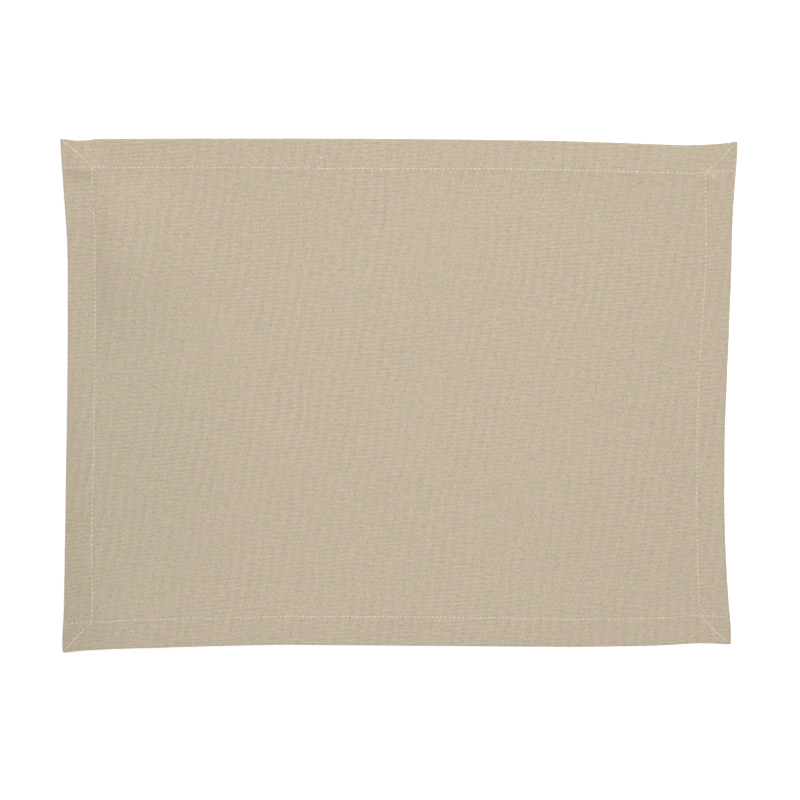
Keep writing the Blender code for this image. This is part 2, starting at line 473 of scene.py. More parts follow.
# %% The drop inside the hem
DROP = (  # inset in mm from the rim, share of the height that is left at the far side and at the others
    (20.4, 1.00, 1.00),
    (21.1, 0.94, 0.99),
    (22.0, 0.84, 0.97),
    (23.4, 0.74, 0.93),
    (26.0, 0.66, 0.85),
    (30.0, 0.57, 0.73),
    (38.0, 0.38, 0.49),
    (50.0, 0.15, 0.20),
    (66.0, 0.00, 0.00),
)


def face_height(x, y):
    """The height of the cloth's face layer before it is sewn: high on the hem, low in the field."""
    inset, far, others = np.array(DROP).T
    to_others = np.minimum(LENGTH / 2 - np.abs(x), WIDTH / 2 + y)
    far_share = np.interp((WIDTH / 2 - y) / MM, inset, far)
    share = np.maximum(far_share, np.interp(to_others / MM, inset, others))
    return LOWER + (FACE - LOWER) * share


# %% [markdown]
# ## Swellings and waves
#
# Laid down by hand, the mat doesn't lie quite flat. A soft swelling beside the left hem catches the light,
# and the whole mat has faint waves. At the two far corners, where the rows cross, the hem is also drawn up
# into a small tuck, which rises gently on its far side and drops sharply on its near side. All of them
# could be brushed on with a sculpting brush. Here each one is a line in a table, so it can be moved or made
# higher, and every layer of the hem rises with it.

# %% Swellings and waves of the laid mat
SWELLINGS = (  # x, y, reach_x, reach_y, height, all in mm
    (-194.0, 102.0, 78.0, 64.0, 5.2),
    (-204.0, 66.0, 44.0, 48.0, 2.4),
    (-150.0, -20.0, 60.0, 80.0, 0.4),
    (60.0, 105.0, 90.0, 50.0, 0.4),
    (150.0, -80.0, 70.0, 60.0, 0.5),
)
HELD_DOWN = (17.0 * MM, 36.0 * MM)  # flat up to the first inset, whole swellings from the second
TUCKS = (  # x, y, reach_x, reach on the far side, reach on the near side, height, all in mm
    (-217.0, 154.5, 16.0, 20.0, 6.5, 1.9),
    (214.0, 147.0, 12.0, 9.0, 4.5, 1.3),
)
WAVES = (  # length in mm, direction in degrees, height in mm, phase in degrees
    (172.0, 25.0, 0.10, 40.0),
    (118.0, 105.0, 0.08, 210.0),
    (74.0, 62.0, 0.05, 120.0),
    (51.0, 158.0, 0.03, 300.0),
)
PUCKERS = (  # length in mm, height in mm, phase in degrees, along the rows
    (9.0, 0.030, 70.0),
    (13.0, 0.035, 190.0),
    (23.0, 0.040, 330.0),
)
PUCKER_REACH = 7.0 * MM
OTHER_SIDE = 2.3  # the near and left rows have their phases multiplied by this


def lift(x, y, inset):
    """How far the laid mat stands off the table. inset is the distance from the nearest rim."""
    height = np.zeros_like(x)
    for middle_x, middle_y, reach_x, reach_y, rise in np.array(SWELLINGS) * MM:
        away = ((x - middle_x) / reach_x) ** 2 + ((y - middle_y) / reach_y) ** 2
        height += rise * np.clip(1 - away, 0, 1) ** 2
    share = np.clip((inset - HELD_DOWN[0]) / (HELD_DOWN[1] - HELD_DOWN[0]), 0, 1)
    height *= share * share * (3 - 2 * share)
    for middle_x, middle_y, reach_x, reach_far, reach_near, rise in np.array(TUCKS) * MM:
        beside = np.clip(1 - ((x - middle_x) / reach_x) ** 2, 0, 1) ** 2
        away = np.abs(y - middle_y) / np.where(y > middle_y, reach_far, reach_near)
        share = np.clip(1 - away, 0, 1)
        height += rise * beside * share * share * (3 - 2 * share)
    for length, direction, rise, phase in WAVES:
        angle = math.radians(direction)
        turns = (x * math.cos(angle) + y * math.sin(angle)) / (length * MM)
        height += rise * MM * (1 + np.sin(2 * math.pi * turns + math.radians(phase))) / 2
    return height


def puckers(x, y):
    """Small ripples across the sewn lines, which fade away from them."""
    height = np.zeros_like(x)
    to_far_near = np.abs(np.abs(y) - far_y)
    to_left_right = np.abs(np.abs(x) - right_x)
    for length, rise, phase in PUCKERS:
        for place, distance, other in ((x, to_far_near, y), (y, to_left_right, x)):
            shift = np.where(other > 0, math.radians(phase), math.radians(phase) * OTHER_SIDE)
            ripple = (1 + np.sin(2 * math.pi * place / (length * MM) + shift)) / 2
            height += rise * MM * ripple * np.exp(-((distance / PUCKER_REACH) ** 2))
    return height


# %% [markdown]
# ## Laying the mat down
#
# The last step moves each point of the straight panel to its place on the table. Across the mat a point
# keeps its share of the way from the rim to the sewn line, or from one sewn line to the other. So rims,
# seams and field all follow their tables, and hardly any cloth is stretched by more than a tenth.


# %% Moving points to the outline
def along_table(table, places):
    """A smooth curve through a table's rows, read at some places (metres in, metres out)."""
    at, value = np.array(table).T * MM
    slope = np.gradient(value, at)
    places = np.clip(places, at[0], at[-1])
    row = np.clip(np.searchsorted(at, places) - 1, 0, len(at) - 2)
    gap = at[row + 1] - at[row]
    t = (places - at[row]) / gap
    start, end = value[row], value[row + 1]
    bend = (1 - t) * slope[row] * gap - t * slope[row + 1] * gap - (1 - 2 * t) * (end - start)
    return start + t * (end - start) + t * (1 - t) * bend


def between_sides(place, size, low_rim, high_rim, low_seam, high_seam):
    """Spreads places on the straight panel between two rims and the two sewn lines beside them."""
    inset = size / 2 - np.abs(place)
    share = (place / (size / 2 - SEAM_INSET) + 1) / 2
    low, high = low_rim + low_seam, high_rim - high_seam
    in_field = low + share * (high - low)
    in_hem = np.where(
        place < 0,
        low_rim + inset / SEAM_INSET * low_seam,
        high_rim - inset / SEAM_INSET * high_seam,
    )
    return np.where(inset < SEAM_INSET, in_hem, in_field)


def outline_place(x, y):
    """Where points of the straight panel lie on the table."""
    moved_x = between_sides(
        x,
        LENGTH,
        along_table(LEFT_EDGE, y),
        along_table(RIGHT_EDGE, y),
        along_table(LEFT_SEAM, y),
        along_table(RIGHT_SEAM, y),
    )
    moved_y = between_sides(
        y,
        WIDTH,
        along_table(NEAR_EDGE, moved_x),
        along_table(FAR_EDGE, moved_x),
        along_table(NEAR_SEAM, moved_x),
        along_table(FAR_SEAM, moved_x),
    )
    dip = {name: value * MM for name, value in TIP_DIP.items()}
    beside = np.exp(-(((moved_x - dip["x"]) / dip["half_width"]) ** 4))
    inwards = np.clip(1 - (WIDTH / 2 - y) / dip["reach"], 0, 1)
    moved_y = moved_y - dip["depth"] * beside * inwards
    to_tip = np.hypot(LENGTH / 2 - np.abs(x), WIDTH / 2 - np.abs(y))
    drawn_in = CORNER_ROUND * np.exp(-((to_tip / (2 * CORNER_ROUND)) ** 2))
    return moved_x - np.sign(x) * drawn_in, moved_y - np.sign(y) * drawn_in


RIM_POINTS = 400
rim_x = np.linspace(-LENGTH / 2, LENGTH / 2, RIM_POINTS)
rim_y = np.linspace(-WIDTH / 2, WIDTH / 2, RIM_POINTS)
reach = [
    outline_place(np.full_like(rim_y, -LENGTH / 2), rim_y)[0].min(),
    outline_place(np.full_like(rim_y, LENGTH / 2), rim_y)[0].max(),
    outline_place(rim_x, np.full_like(rim_x, -WIDTH / 2))[1].min(),
    outline_place(rim_x, np.full_like(rim_x, WIDTH / 2))[1].max(),
]
OUTLINE_MIDDLE = ((reach[0] + reach[1]) / 2, (reach[2] + reach[3]) / 2)  # the frame has it at its origin
print("the outline's middle, in mm:", [round(value / MM, 3) for value in OUTLINE_MIDDLE])


def lay_down(places):
    """Moves points of the straight panel to the table. Their height is kept and the mat's lift is added."""
    x, y, z = places.T
    moved_x, moved_y = outline_place(x, y)
    inset = np.minimum(LENGTH / 2 - np.abs(x), WIDTH / 2 - np.abs(y))
    height = z + lift(moved_x, moved_y, inset) + puckers(x, y)
    return np.stack([moved_x - OUTLINE_MIDDLE[0], moved_y - OUTLINE_MIDDLE[1], height], axis=1)


# %% [markdown]
# ## Pressing, laying and thickening the cloth
#
# The face takes the drop and the grooves. The two layers under it are drawn up to it a little at the
# thread, and on the mitres the folded edges meet in a narrow valley that shows from below. Then the whole
# sheet is laid down, and Solidify gives it its thickness, because a real cloth has a face, a back and an
# edge.

# %% The finished cloth
PULL_SHARES = {"face": -1.0, "middle": 0.1, "back": 0.2}  # of the groove's depth
MITRE_VALLEY = 0.3 * MM
CLOTH_CREASE = math.radians(50)  # sharper edges than this stay sharp

on_face = turn == 0
on_back = (places[:, 2] < LOWER + NEARLY) & ~on_face
on_middle = (np.abs(places[:, 2] - MIDDLE) < NEARLY) & ~on_face
on_mitre = np.abs(insets[:, 0] - insets[:, 1]) < NEARLY / 10

pull = sewn_pull(places[:, 0], places[:, 1])
height = np.where(on_face, face_height(places[:, 0], places[:, 1]), places[:, 2])
for layer, share in zip((on_face, on_middle, on_back), PULL_SHARES.values()):
    height += np.where(layer, share * pull, 0)
height += np.where(on_mitre & on_back, MITRE_VALLEY, 0)
height += np.where(on_mitre & on_middle, MITRE_VALLEY / 2, 0)
places[:, 2] = height
write_places(cloth.data, lay_down(places))

pick_piece(cloth)
thickness = cloth.modifiers.new("cloth thickness", "SOLIDIFY")
thickness.thickness = CLOTH
thickness.offset = 0
thickness.use_even_offset = True
bpy.ops.object.modifier_apply(modifier=thickness.name)
bpy.ops.object.shade_smooth_by_angle(angle=CLOTH_CREASE)
cloth.data.calc_loop_triangles()
print(f"{len(cloth.data.loop_triangles)} triangles, {cloth.dimensions.z / MM:.2f} mm high")

# %% [markdown]
# ## One stitch
#
# A topstitch is a short piece of thread that comes up through one needle hole and goes down through the
# next. Only its back shows. A curve with a round bevel would do, but hundreds of them would be heavy. One
# six-sided cylinder is cut into five lengths instead, its ends are pushed down into the cloth, and it is
# flattened, because the thread is drawn tight.

# %% Modelling a stitch
THREAD = 0.42 * MM
STITCH_LENGTH = 2.5 * MM
STITCH_RINGS = (  # share of half its length, height in mm above the groove, share of the thread's width
    (-1.0, -0.30, 0.6),
    (-0.6, 0.05, 1.0),
    (-0.2, 0.12, 1.0),
    (0.2, 0.12, 1.0),
    (0.6, 0.05, 1.0),
    (1.0, -0.30, 0.6),
)
FLATTENED = 0.55

bpy.ops.object.select_all(action="DESELECT")
bpy.ops.mesh.primitive_cylinder_add(
    vertices=6,
    radius=THREAD / 2,
    depth=STITCH_LENGTH,
    end_fill_type="NGON",
    rotation=(0, math.pi / 2, 0),
)
stitch = bpy.context.object
stitch.name = stitch.data.name = "one_stitch"
bpy.ops.object.transform_apply(location=False, rotation=True, scale=False)

ends = read_places(stitch.data.vertices)[:, 0]
long_edges = [abs(ends[edge.vertices[0]] - ends[edge.vertices[1]]) > THREAD for edge in stitch.data.edges]
edit_these(stitch, "edges", long_edges)
bpy.ops.mesh.subdivide(number_cuts=len(STITCH_RINGS) - 2)
bpy.ops.object.mode_set(mode="OBJECT")
for share, rise, width in STITCH_RINGS:
    ring_x = share * STITCH_LENGTH / 2
    ring = np.abs(read_places(stitch.data.vertices)[:, 0] - ring_x) < THREAD / 10
    edit_these(stitch, "vertices", ring)
    bpy.ops.transform.resize(value=(1, width, width * FLATTENED), center_override=(ring_x, 0, 0))
    bpy.ops.transform.translate(value=(0, 0, rise * MM))
    bpy.ops.object.mode_set(mode="OBJECT")
print(f"one stitch has {len(stitch.data.polygons)} faces")

# %% [markdown]
# ## Sewing
#
# Each row is the one stitch, repeated by an Array modifier. A machine's stitches are alike but not the
# same, so each copy is turned, shortened and sunk by a small seeded amount and gets its own tone. The row
# is then placed on the straight panel, with its feet in the groove, and laid down with the same function as
# the cloth, so the thread can't leave its groove. On the underside the same holes carry the bobbin thread,
# which lies flatter.

# %% Sewing the rows
SIDES = {  # how the thread lies on each side of the hem
    "topstitching": {"base": FACE + CLOTH / 2, "layer": "face", "up": 1, "flat": 1.0, "seed": 11},
    "underside_stitching": {"base": 0.0, "layer": "back", "up": -1, "flat": 0.35, "seed": 12},
}
UNEVEN = {  # how much the stitches differ
    "aside": 0.07 * MM,
    "turn": math.radians(2.5),
    "length": 0.07,
    "width": 0.16,
    "sink": 0.05 * MM,
}
TWICE_ON = 0.45  # of a stitch, from the first sewing to the second
TWICE_ASIDE = 0.6 * THREAD
TONES = (0.5, 0.22)  # mean and spread
THREAD_CREASE = math.radians(60)


def sew_row(name, side, row, rng):
    """One row of stitches on one side of the hem, as a piece of its own."""
    row_name, first, last, bow, twice = row
    along, across, length, count = row_line(first, last)
    pick_piece(stitch)
    bpy.ops.object.duplicate()
    sewn = bpy.context.object
    sewn.name = f"{name}_{row_name}"
    repeat = sewn.modifiers.new("repeat", "ARRAY")
    repeat.count = count + twice
    repeat.use_relative_offset = False
    bpy.ops.object.modifier_apply(modifier=repeat.name)

    x, y, z = read_places(sewn.data.vertices).reshape(count + twice, -1, 3).transpose(2, 0, 1)
    uneven = {key: rng.normal(0, size, (count + twice, 1)) for key, size in UNEVEN.items()}
    x = x * (1 + uneven["length"])
    y = y * (1 + uneven["width"]) + x * uneven["turn"] + uneven["aside"]
    z = z * side["flat"] - np.abs(uneven["sink"]) * side["flat"]

    middle = (np.arange(count + twice) % count + 0.5)[:, None]
    middle[count:] += TWICE_ON  # sewn again beside the first ones, nearly half a stitch on
    place = middle * length / count + x
    aside = y + bowed(np.clip(place / length, 0, 1), bow)
    aside[count:] += TWICE_ASIDE
    px = first[0] + place * along[0] + aside * across[0]
    py = first[1] + place * along[1] + aside * across[1]
    pz = side["base"] + PULL_SHARES[side["layer"]] * sewn_pull(px, py) + side["up"] * z
    write_places(sewn.data, lay_down(np.stack([px, py, pz], axis=2).reshape(-1, 3)))

    # Each stitch's tone is partly random and partly painted shade, darker for stitches that sit deeper in
    # the cloth.
    tone = sewn.data.attributes.new("stitch_tone_and_shade", "FLOAT", "POINT")
    shade = np.clip(rng.normal(*TONES, (count + twice, 1)), 0, 1)
    tone.data.foreach_set("value", np.repeat(shade, x.shape[1], axis=1).astype(np.float32).ravel())
    return sewn


threads = []
for name, side in SIDES.items():
    rng = np.random.default_rng(side["seed"])
    rows = [sew_row(name, side, row, rng) for row in ROWS]
    pick_piece(rows[0])
    for row in rows:
        row.select_set(True)
    bpy.ops.object.join()
    sewn = bpy.context.object
    sewn.name = sewn.data.name = name
    if side["up"] < 0:  # mirrored in height, so its faces are turned back outwards
        sewn.data.flip_normals()
    bpy.ops.object.shade_smooth_by_angle(angle=THREAD_CREASE)
    sewn.data.calc_loop_triangles()
    print(f"{name}: {len(sewn.data.loop_triangles)} triangles")
    threads.append(sewn)
bpy.data.objects.remove(stitch)

# %% [markdown]
# ## Building materials
#
# A material is a tree of nodes. Small helpers keep the trees short: one adds a node and fills its inputs
# with numbers or with other nodes' outputs, and others do the same for a sum, a noise, a group or a bump.
# What is used more than once is made as a node group. The cloth's patterns read the map of the flat cloth,
# so they follow the yarns round the folds, and their sizes are those of real yarns.


# %% Helpers for node trees
def add_node(tree, kind, inputs=(), **options):
    """Adds a node. inputs pairs each input's name or number with a value or another node's output."""
    node = tree.nodes.new(kind)
    node.location = (240 * (len(tree.nodes) // 5), -220 * (len(tree.nodes) % 5))
    for option, value in options.items():
        setattr(node, option, value)
    for name, value in dict(inputs).items():
        if isinstance(value, bpy.types.NodeSocket):
            tree.links.new(value, node.inputs[name])
        else:
            node.inputs[name].default_value = value
    return node


def calc(tree, operation, *values):
    """A Math node's result."""
    return add_node(tree, "ShaderNodeMath", enumerate(values), operation=operation).outputs[0]


def noise_on(tree, vector, scale, detail):
    """A flat Noise texture's value, from 0 to 1 and mostly near a half."""
    inputs = {"Vector": vector, "Scale": scale, "Detail": detail}
    return add_node(tree, "ShaderNodeTexNoise", inputs, noise_dimensions="2D").outputs[0]


def new_group(name, inputs, outputs):
    """A shader node group. inputs and outputs pair each socket's name with its kind and starting value."""
    group = bpy.data.node_groups.new(name, "ShaderNodeTree")
    for way, sockets in (("INPUT", inputs), ("OUTPUT", outputs)):
        for socket_name, (kind, value) in sockets.items():
            made = group.interface.new_socket(socket_name, in_out=way, socket_type=f"NodeSocket{kind}")
            if value is not None:
                made.default_value = value
    return group, add_node(group, "NodeGroupInput").outputs


def finish_group(group, results):
    add_node(group, "NodeGroupOutput", results)


def use_group(tree, group, inputs):
    """Places a group in a material and returns its outputs."""
    return add_node(tree, "ShaderNodeGroup", inputs, node_tree=group).outputs


def link_bump(tree, shader, height, strength, distance):
    """Makes a height show as bump."""
    inputs = {"Height": height, "Strength": strength, "Distance": distance}
    bump = add_node(tree, "ShaderNodeBump", inputs)
    tree.links.new(bump.outputs["Normal"], shader.inputs["Normal"])


def set_finish(shader, values):
    """Sets the shader's inputs that are the same all over."""
    for name, value in values.items():
        shader.inputs[name].default_value = value


# %% [markdown]
# ## The weave
#
# Plain weave is the simplest cloth: each weft yarn, which runs along the mat, goes over one warp yarn and
# under the next, and its neighbours do the opposite. Counting yarns both ways and adding the counts tells
# which yarn is on top in each cell: odd is weft, even is warp. The height of a cell is a small pillow that
# is round across the top yarn and long along it.


# %% A group for plain weave
def make_weave():
    group, given = new_group(
        "plain_weave",
        {"Flat place": ("Vector", None), "Warp pitch": ("Float", 0.001), "Weft pitch": ("Float", 0.001)},
        {
            "Height": ("Float", None),
            "Weft on top": ("Float", None),
            "Warp number": ("Float", None),
            "Weft number": ("Float", None),
        },
    )
    place = add_node(group, "ShaderNodeSeparateXYZ", {0: given["Flat place"]}).outputs
    number, across = {}, {}
    for yarn, position in (("Warp", place["X"]), ("Weft", place["Y"])):
        yarns = calc(group, "DIVIDE", position, given[f"{yarn} pitch"])
        number[yarn] = calc(group, "FLOOR", yarns)
        across[yarn] = calc(group, "SINE", calc(group, "MULTIPLY", calc(group, "FRACT", yarns), math.pi))
    both = calc(group, "ADD", number["Warp"], number["Weft"])
    weft_on_top = calc(group, "FLOORED_MODULO", both, 2.0)
    warp_pillow = calc(group, "MULTIPLY", across["Warp"], calc(group, "SQRT", across["Weft"]))
    weft_pillow = calc(group, "MULTIPLY", across["Weft"], calc(group, "SQRT", across["Warp"]))
    height = add_node(group, "ShaderNodeMix", {0: weft_on_top, 2: warp_pillow, 3: weft_pillow})
    finish_group(
        group,
        {
            "Height": height.outputs[0],
            "Weft on top": weft_on_top,
            "Warp number": number["Warp"],
            "Weft number": number["Weft"],
        },
    )
    return group


# %% [markdown]
# ## Uneven yarns
#
# Spun yarn is thicker and darker in some places than in others, each yarn in its own way. Noise that is
# stretched along the yarn and jumps from one yarn to the next gives this. The group is used twice, once for
# the warp and once for the weft, with its own run for each.


# %% A group for the yarns' tones
YARN_JUMP = 7.31  # how far apart neighbouring yarns lie in the noise


def make_yarn_tone():
    group, given = new_group(
        "yarn_tone",
        {
            "Along": ("Float", None),
            "Number": ("Float", None),
            "Run": ("Float", 0.001),
        },
        {"Tone": ("Float", None)},
    )
    along = calc(group, "DIVIDE", given["Along"], given["Run"])
    across = calc(group, "MULTIPLY", given["Number"], YARN_JUMP)
    spot = add_node(group, "ShaderNodeCombineXYZ", {"X": along, "Y": across}).outputs[0]
    finish_group(group, {"Tone": calc(group, "SUBTRACT", noise_on(group, spot, 1.0, 1.0), 0.5)})
    return group


# %% [markdown]
# ## Uneven dye
#
# Yarn never takes dye quite evenly. Patches a few millimetres wide lean a little from green to red, and
# others from yellow to blue, without being lighter or darker. Cloth and thread share this effect, with
# their own sizes and amounts, so it is a group too. Its noise has channels that don't agree with each
# other, one for each lean, and its tint is what a colour is multiplied with.


# %% A group for uneven dye
LEANS = {"Red": (1.0, -0.33, 0.0), "Green": (0.22, -0.22, 1.5)}  # the noise's channel, and where it leans


def vector_calc(tree, operation, first, second):
    """A Vector Math node's result. To scale a vector, the second value is a number."""
    name = "Scale" if operation == "SCALE" else 1
    inputs = {0: first, name: second}
    return add_node(tree, "ShaderNodeVectorMath", inputs, operation=operation).outputs[0]


def make_uneven_dye():
    group, given = new_group(
        "uneven_dye",
        {"Place": ("Vector", None), "Patch size": ("Float", 0.005), "Amount": ("Float", 0.05)},
        {"Tint": ("Vector", None)},
    )
    scale = calc(group, "DIVIDE", 1.0, given["Patch size"])
    inputs = {"Vector": given["Place"], "Scale": scale, "Detail": 1.0}
    noise = add_node(group, "ShaderNodeTexNoise", inputs, noise_dimensions="2D").outputs["Color"]
    channels = add_node(group, "ShaderNodeSeparateColor", {0: noise}).outputs
    tint = (1.0, 1.0, 1.0)
    for channel, direction in LEANS.items():
        lean = calc(group, "MULTIPLY", calc(group, "SUBTRACT", channels[channel], 0.5), given["Amount"])
        tint = vector_calc(group, "ADD", vector_calc(group, "SCALE", direction, lean), tint)
    finish_group(group, {"Tint": tint})
    return group


weave_group, yarn_group, dye_group = make_weave(), make_yarn_tone(), make_uneven_dye()
print("groups:", [group.name for group in bpy.data.node_groups])


# %% [markdown]
# ## The cloth's finish
#
# Seen from above, the weave is finer than one pixel, and what shows is the unevenness of its yarns: short
# streaks along the weft, weaker ones along the warp, and a faint rhythm of thicker weft yarns, about one in
# five. Up close the pillows of the weave show as bump. A photograph wrapped on the mesh would be quicker,
# but it would blur up close and carry its own light.

# %% Sizes and colours of the cloth's finish
OATMEAL = (0.468, 0.395, 0.296)
WARP_PITCH = 0.625 * MM
WEFT_PITCH = 0.55 * MM
YARN_BUMP = 0.10 * MM
YARN_BUMP_STRENGTH = 0.6
CLOTH_ROUGHNESS = (0.96, -0.08)  # in the gaps, and what a yarn's top adds
CLOTH_FINISH = {"Specular IOR Level": 0.25, "Sheen Weight": 0.08, "Sheen Roughness": 0.6}
YARNS = {  # how strongly its tone shows, and the length of its streaks
    "Weft": {"strength": 0.87, "run": 1.1 * MM},
    "Warp": {"strength": 0.67, "run": 0.8 * MM},
}
RHYTHMS = (  # pitch in mm, direction of the lines in degrees, strength, size of its patches in mm
    (2.77, 4.5, 0.033, 60.0),
    (3.9, -6.5, 0.016, 40.0),
    (7.1, 81.5, 0.020, 50.0),
)
DYE_PATCH = 8.0 * MM
DYE_AMOUNT = 0.08


# %% [markdown]
# Each rhythm is a sine wave across lines. Two of the three run nearly along the weft, and the last nearly
# along the warp. A noise makes it stronger in some patches than in others and lets its lines wander,
# because a perfectly even stripe looks printed.


# %% Faint lines in the cloth
WANDER = 6.0  # radians


def rhythm(tree, flat_place, place, pitch, direction, strength, patch):
    angle = math.radians(direction)
    turns = 2 * math.pi / (pitch * MM)
    across_x = calc(tree, "MULTIPLY", place["X"], -math.sin(angle) * turns)
    across_y = calc(tree, "MULTIPLY", place["Y"], math.cos(angle) * turns)
    patches = noise_on(tree, flat_place, 1 / (patch * MM), 1.0)
    wander = calc(tree, "MULTIPLY", patches, WANDER)
    wave = calc(tree, "SINE", calc(tree, "ADD", calc(tree, "ADD", across_x, across_y), wander))
    return calc(tree, "MULTIPLY", calc(tree, "MULTIPLY", wave, patches), 2 * strength)


# %% [markdown]
# The left side is darker, most of all on its hem towards the near corner. This is painted shade: the cloth's
# own colour is made darker there instead of the light, which keeps the lamps simple. It lies in two soft
# ovals on the flat cloth. A point's distance from the middle, in shares of the reach, is squared and faded
# out, and each oval takes its own share of red, green and blue away.

# %% Painted shade on the left side
PAINTED_SHADE_OVALS = (  # middle and reach in mm, and the shares of red, green and blue that are lost in the middle
    ((-240.0, -185.0), (60.0, 260.0), (0.100, 0.085, 0.100)),
    ((-175.0, -30.0), (85.0, 200.0), (0.032, 0.012, 0.020)),
)


def painted_shade_on_left(tree, flat_place):
    """What the cloth's colour is multiplied with, for the painted shade towards the left."""
    kept = (1.0, 1.0, 1.0)
    for middle, reach, lost in PAINTED_SHADE_OVALS:
        away = vector_calc(tree, "SUBTRACT", flat_place, (*np.multiply(middle, MM), 0.0))
        away = vector_calc(tree, "DIVIDE", away, (*np.multiply(reach, MM), 1.0))
        squares = {0: away, 1: away}
        squared = add_node(tree, "ShaderNodeVectorMath", squares, operation="DOT_PRODUCT").outputs["Value"]
        faded = calc(tree, "MAXIMUM", calc(tree, "SUBTRACT", 1.0, squared), 0.0)
        taken = vector_calc(tree, "SCALE", lost, calc(tree, "MULTIPLY", faded, faded))
        kept = vector_calc(tree, "SUBTRACT", kept, taken)
    return kept


# %% The cloth's material
def make_cloth_material():
    material = bpy.data.materials.new("oatmeal_cloth")
    material.use_nodes = True
    tree = material.node_tree
    shader = tree.nodes["Principled BSDF"]
    flat_place = add_node(tree, "ShaderNodeUVMap", uv_map="flat_cloth").outputs[0]
    place = add_node(tree, "ShaderNodeSeparateXYZ", {0: flat_place}).outputs
    pitches = {"Warp pitch": WARP_PITCH, "Weft pitch": WEFT_PITCH}
    weave = use_group(tree, weave_group, {"Flat place": flat_place, **pitches})

    tones = {}
    for yarn, along in (("Weft", place["X"]), ("Warp", place["Y"])):
        sizes = YARNS[yarn]
        yarn_inputs = {"Along": along, "Number": weave[f"{yarn} number"], "Run": sizes["run"]}
        tone = use_group(tree, yarn_group, yarn_inputs)["Tone"]
        tones[yarn] = calc(tree, "MULTIPLY", tone, sizes["strength"])
    mixed = add_node(tree, "ShaderNodeMix", {0: weave["Weft on top"], 2: tones["Warp"], 3: tones["Weft"]})
    tone = calc(tree, "ADD", mixed.outputs[0], 1.0)
    for lines in RHYTHMS:
        tone = calc(tree, "ADD", tone, rhythm(tree, flat_place, place, *lines))

    dye_inputs = {"Place": flat_place, "Patch size": DYE_PATCH, "Amount": DYE_AMOUNT}
    tint = use_group(tree, dye_group, dye_inputs)["Tint"]
    # painted shade towards the left side darkens the tint
    tint = vector_calc(tree, "MULTIPLY", tint, painted_shade_on_left(tree, flat_place))
    colour = vector_calc(tree, "SCALE", vector_calc(tree, "MULTIPLY", tint, OATMEAL), tone)
    tree.links.new(colour, shader.inputs["Base Color"])

    in_gaps, on_yarns = CLOTH_ROUGHNESS
    roughness = calc(tree, "MULTIPLY_ADD", weave["Height"], on_yarns, in_gaps)
    tree.links.new(roughness, shader.inputs["Roughness"])
    link_bump(tree, shader, weave["Height"], YARN_BUMP_STRENGTH, YARN_BUMP)
    set_finish(shader, CLOTH_FINISH)
    return material


cloth.data.materials.clear()
cloth.data.materials.append(make_cloth_material())
print("cloth material:", len(cloth.data.materials[0].node_tree.nodes), "nodes")

# %% [markdown]
# ## The thread's finish
#
# The thread is paler than the cloth and a little glossier, because it is spun smoother. It is two strands
# twisted together, which shows as slanting grooves, as bump and as painted shade and highlight in its
# colour.
# Each stitch keeps the tone that it was sewn with. That tone is partly random and partly painted shade,
# since some stitches sit deeper in the cloth and look darker, and its dye wanders slowly along the rows. The
# cylinder it started from brought its own UV map, with U round the thread and V along it, and the twist
# reads that.

# %% The thread's material
CREAM = (0.715, 0.66, 0.52)
THREAD_DYE_PATCH = 25.0 * MM
THREAD_DYE_AMOUNT = 0.20
STRANDS = 2
THREAD_TURNS = 4.0  # twists along one stitch
# The twist's painted shade and highlight: the thread's colour is darker in its grooves and lighter on its
# strands.
TWIST_SHADE = 0.05  # how much darker and lighter the twist makes the thread
TWIST_BUMP = 0.04 * MM
TWIST_BUMP_STRENGTH = 0.5
TONE_RANGE = (0.80, 1.12)
THREAD_ROUGHNESS = (0.72, -0.06)  # on average, and what the twist adds
THREAD_FINISH = {"Sheen Weight": 0.1}


def make_thread_material():
    material = bpy.data.materials.new("cream_thread")
    material.use_nodes = True
    tree = material.node_tree
    shader = tree.nodes["Principled BSDF"]
    round_thread = add_node(tree, "ShaderNodeUVMap", uv_map="UVMap").outputs[0]
    place = add_node(tree, "ShaderNodeSeparateXYZ", {0: round_thread}).outputs
    turns_round = calc(tree, "MULTIPLY", place["X"], 2 * math.pi * STRANDS)
    turns_along = calc(tree, "MULTIPLY", place["Y"], 2 * math.pi * THREAD_TURNS)
    twist = calc(tree, "SINE", calc(tree, "ADD", turns_round, turns_along))

    # each stitch's tone: partly random, partly painted shade for deeper stitches
    sewn_tone_and_shade = add_node(tree, "ShaderNodeAttribute", attribute_name="stitch_tone_and_shade").outputs["Fac"]
    low, high = TONE_RANGE
    tone = calc(tree, "MULTIPLY_ADD", sewn_tone_and_shade, high - low, low)
    # painted shade and highlight of the twist, on top of each stitch's tone
    twist_shaded = calc(tree, "MULTIPLY_ADD", twist, TWIST_SHADE, tone)
    thread_place = add_node(tree, "ShaderNodeTexCoord").outputs["Object"]
    dye_inputs = {"Place": thread_place, "Patch size": THREAD_DYE_PATCH, "Amount": THREAD_DYE_AMOUNT}
    tint = use_group(tree, dye_group, dye_inputs)["Tint"]
    colour = vector_calc(tree, "SCALE", vector_calc(tree, "MULTIPLY", tint, CREAM), twist_shaded)
    tree.links.new(colour, shader.inputs["Base Color"])
    average, on_twist = THREAD_ROUGHNESS
    roughness = calc(tree, "MULTIPLY_ADD", twist, on_twist, average)
    tree.links.new(roughness, shader.inputs["Roughness"])
    link_bump(tree, shader, twist, TWIST_BUMP_STRENGTH, TWIST_BUMP)
    set_finish(shader, THREAD_FINISH)
    return material


thread_material = make_thread_material()
for sewn in threads:
    sewn.data.materials.clear()
    sewn.data.materials.append(thread_material)

# %% [markdown]
# ## What the pieces are
#
# Each piece rides on the model's one body. The cloth stands for the imported solid, which is hidden. Its
# stitches go with it.

# %% Telling the frame about the pieces
for piece in (cloth, *threads):
    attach(piece, "root")
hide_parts("placemat_cloth")

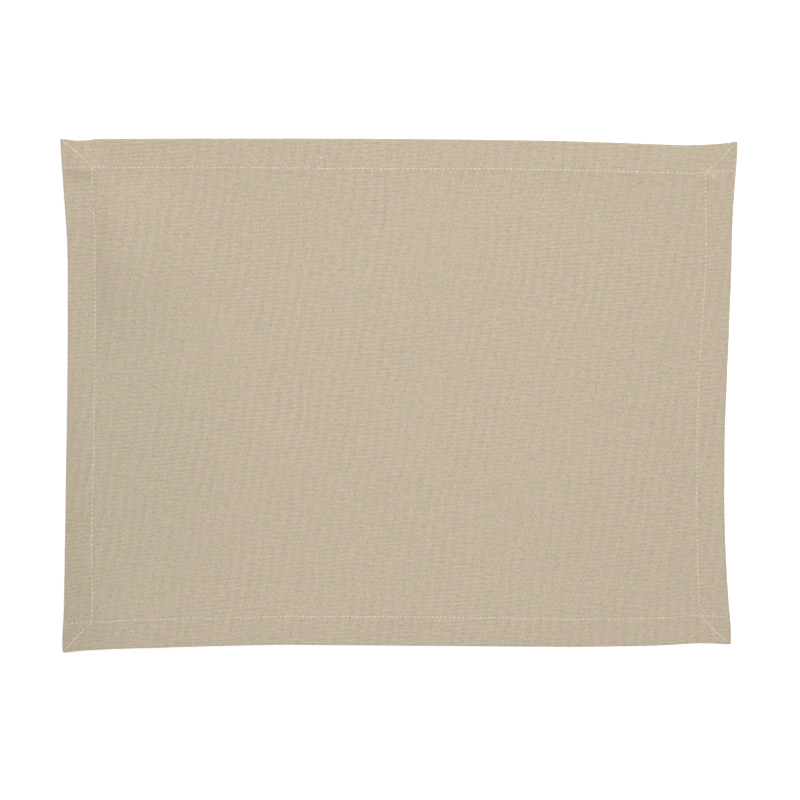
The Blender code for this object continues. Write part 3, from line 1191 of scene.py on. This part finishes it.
# %% [markdown]
# ## The studio
#
# The mat lies on a plain pale table. The table glows faintly, as tables made for photographing goods do, so
# that it stays white beside the mat. Most of the light comes softly from all round. A softbox straight
# above has a grid in front, which keeps its light together, so the mat is a little brighter in its middle.
# Another stands low behind the far side. Its share is small, but it comes in flat, so that swellings and
# grooves show. The camera looks straight down from far enough away that the mat's sides stay straight.

# %% The table
TABLE_SIZE = 4.0
TABLE_GAP = 0.1 * MM  # the bobbin thread stands a little proud of the cloth
TABLE_FINISH = {
    "Base Color": (0.96, 0.96, 0.96, 1),
    "Roughness": 0.8,
    "Emission Color": (1, 1, 1, 1),
    "Emission Strength": 0.12,
}
bpy.ops.object.select_all(action="DESELECT")
bpy.ops.mesh.primitive_plane_add(size=TABLE_SIZE, location=(0, 0, -TABLE_GAP))
table = bpy.context.object
table.name = "pale_table"
paint = bpy.data.materials.new("pale_paint")
paint.use_nodes = True
set_finish(paint.node_tree.nodes["Principled BSDF"], TABLE_FINISH)
table.data.materials.append(paint)

# %% The light
SKY_STRENGTH = 0.717
SOFTBOXES = (  # name, size, place, what it is aimed at, how far round that its light reaches, power
    ("overhead_softbox", (0.8, 1.2), (0.02, 0.12, 3.0), (0.02, 0.12, 0.0), 0.655, 1.2),
    ("low_softbox", (0.6, 0.6), (0.95, 3.25, 1.15), (0.0, 0.0, 0.0), None, 56.5),
)

world = bpy.data.worlds.new("soft_sky")
bpy.context.scene.world = world
world.use_nodes = True
world.node_tree.nodes["Background"].inputs["Color"].default_value = (1, 1, 1, 1)
world.node_tree.nodes["Background"].inputs["Strength"].default_value = SKY_STRENGTH


def point_at(thing, target):
    """Turns a lamp or a camera so that it looks at a place."""
    direction = np.subtract(target, thing.location)
    thing.rotation_euler = Vector(direction).to_track_quat("-Z", "Y").to_euler()


for name, size, place, aim, reach, power in SOFTBOXES:
    bpy.ops.object.light_add(type="AREA", location=place)
    softbox = bpy.context.object
    softbox.name = name
    softbox.data.shape = "RECTANGLE"
    softbox.data.size, softbox.data.size_y = size
    softbox.data.energy = power
    if reach is not None:  # the grid
        softbox.data.spread = 2 * math.atan(reach / math.dist(place, aim))
    point_at(softbox, aim)

# %% The camera
LENS = 85.0
SENSOR = 36.0
FRAME_WIDTH = 547.7 * MM  # what the picture spans at the mat
VIEW_MIDDLE = (0.9 * MM - OUTLINE_MIDDLE[0], -2.95 * MM - OUTLINE_MIDDLE[1])

bpy.ops.object.camera_add(location=(*VIEW_MIDDLE, FRAME_WIDTH * LENS / SENSOR + FACE))
camera = bpy.context.object
camera.name = "photo_view"
camera.data.lens = LENS
camera.data.sensor_width = SENSOR
camera.rotation_euler = (0, 0, 0)
bpy.context.scene.camera = camera
bpy.context.scene.view_settings.view_transform = "Standard"
